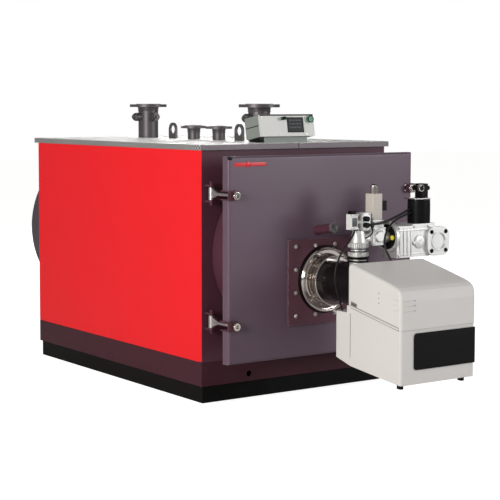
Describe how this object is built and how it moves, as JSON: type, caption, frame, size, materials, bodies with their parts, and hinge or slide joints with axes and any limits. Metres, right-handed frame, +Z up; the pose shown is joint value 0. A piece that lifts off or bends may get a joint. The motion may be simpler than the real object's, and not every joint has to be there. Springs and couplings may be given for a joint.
{
  "type": "industrial boiler",
  "caption": "Reverse-flame hot-water boiler in an insulated casing, with a tread-plate deck, a hinged front door, and a forced-draught gas burner and gas train carried on the door.",
  "frame": {"origin": "centre of the underside of the base frame", "axes": "+Z up, -Y towards the front door and burner, +X to the right of someone facing +Y"},
  "size_m": [1.314, 3.413, 1.618],
  "materials": {
    "base_black": "satin black paint",
    "casing_grey": "satin purple-grey enamel",
    "panel_red": "smooth red enamel",
    "steel_raw": "mill-scale steel",
    "deck_aluminium": "bright tread plate",
    "zinc": "zinc plated",
    "nozzle_grey": "primer grey",
    "smoke_grey": "dark grey paint",
    "box_grey": "light grey powder coat",
    "display": "dark window",
    "knob_green": "green knob",
    "lining": "refractory fibre board",
    "polished": "polished steel",
    "neck_black": "heat-resistant black",
    "hood_white": "warm white moulded cover",
    "black_plastic": "black moulded plastic",
    "cast_alu": "cast aluminium",
    "beige_cover": "beige moulded cover",
    "sight_window": "heat-resistant glass",
    "cable": "black sheath"
  },
  "bodies": {
    "boiler": {"base_rails": "base_black", "cross_members": "base_black", "plinth_band": "casing_grey", "saddles": "base_black", "side_panels": "panel_red", "front_panel": "casing_grey", "rear_panel": "casing_grey", "front_collar": "casing_grey", "boiler_shell": "casing_grey", "main_nozzles": "nozzle_grey", "safety_nozzles": "nozzle_grey", "tube_plates": "steel_raw", "furnace": "steel_raw", "furnace_end": "steel_raw", "smoke_tubes": "steel_raw", "smoke_box": "smoke_grey", "smoke_box_cover": "smoke_grey", "flue_spigot": "smoke_grey", "deck_plates": "deck_aluminium", "deck_trims": "casing_grey", "lifting_eyes": "nozzle_grey", "sensor_pockets": "zinc", "control_box": "box_grey", "control_face": "box_grey", "control_display": "display", "control_knobs": "knob_green", "control_bracket": "box_grey", "clamp_brackets": "casing_grey"},
    "door": {"door": "casing_grey", "door_lining": "lining", "door_lugs": "zinc", "tie_rods": "zinc", "clamp_nuts": "zinc", "sight_tube": "casing_grey", "sight_ring": "zinc", "sight_glass": "sight_window", "burner_plate": "casing_grey", "burner_flange": "polished", "burner_neck": "neck_black", "flame_tube": "steel_raw", "burner_hood": "hood_white", "burner_housing": "hood_white", "burner_fascia": "black_plastic", "burner_feet": "black_plastic", "gas_inlet": "cast_alu", "valve_body": "cast_alu", "valve_actuator": "beige_cover", "actuator_cap": "cast_alu", "connectors": "black_plastic", "test_block": "cast_alu", "pressure_switch": "cast_alu", "test_knobs": "black_plastic", "gas_valve": "cast_alu", "gas_flanges": "cast_alu", "gas_coil": "black_plastic", "coil_plate": "zinc", "switch_cable": "cable", "coil_cable": "cable", "limit_cable": "cable", "test_cable": "cable"}
  },
  "joints": [
    {"name": "door_hinge", "type": "hinge", "parent": "boiler", "child": "door", "pos_m": [0.605, -0.9925, 0.8], "axis": [0, 0, 1], "range_deg": [0, 100]}
  ]
}
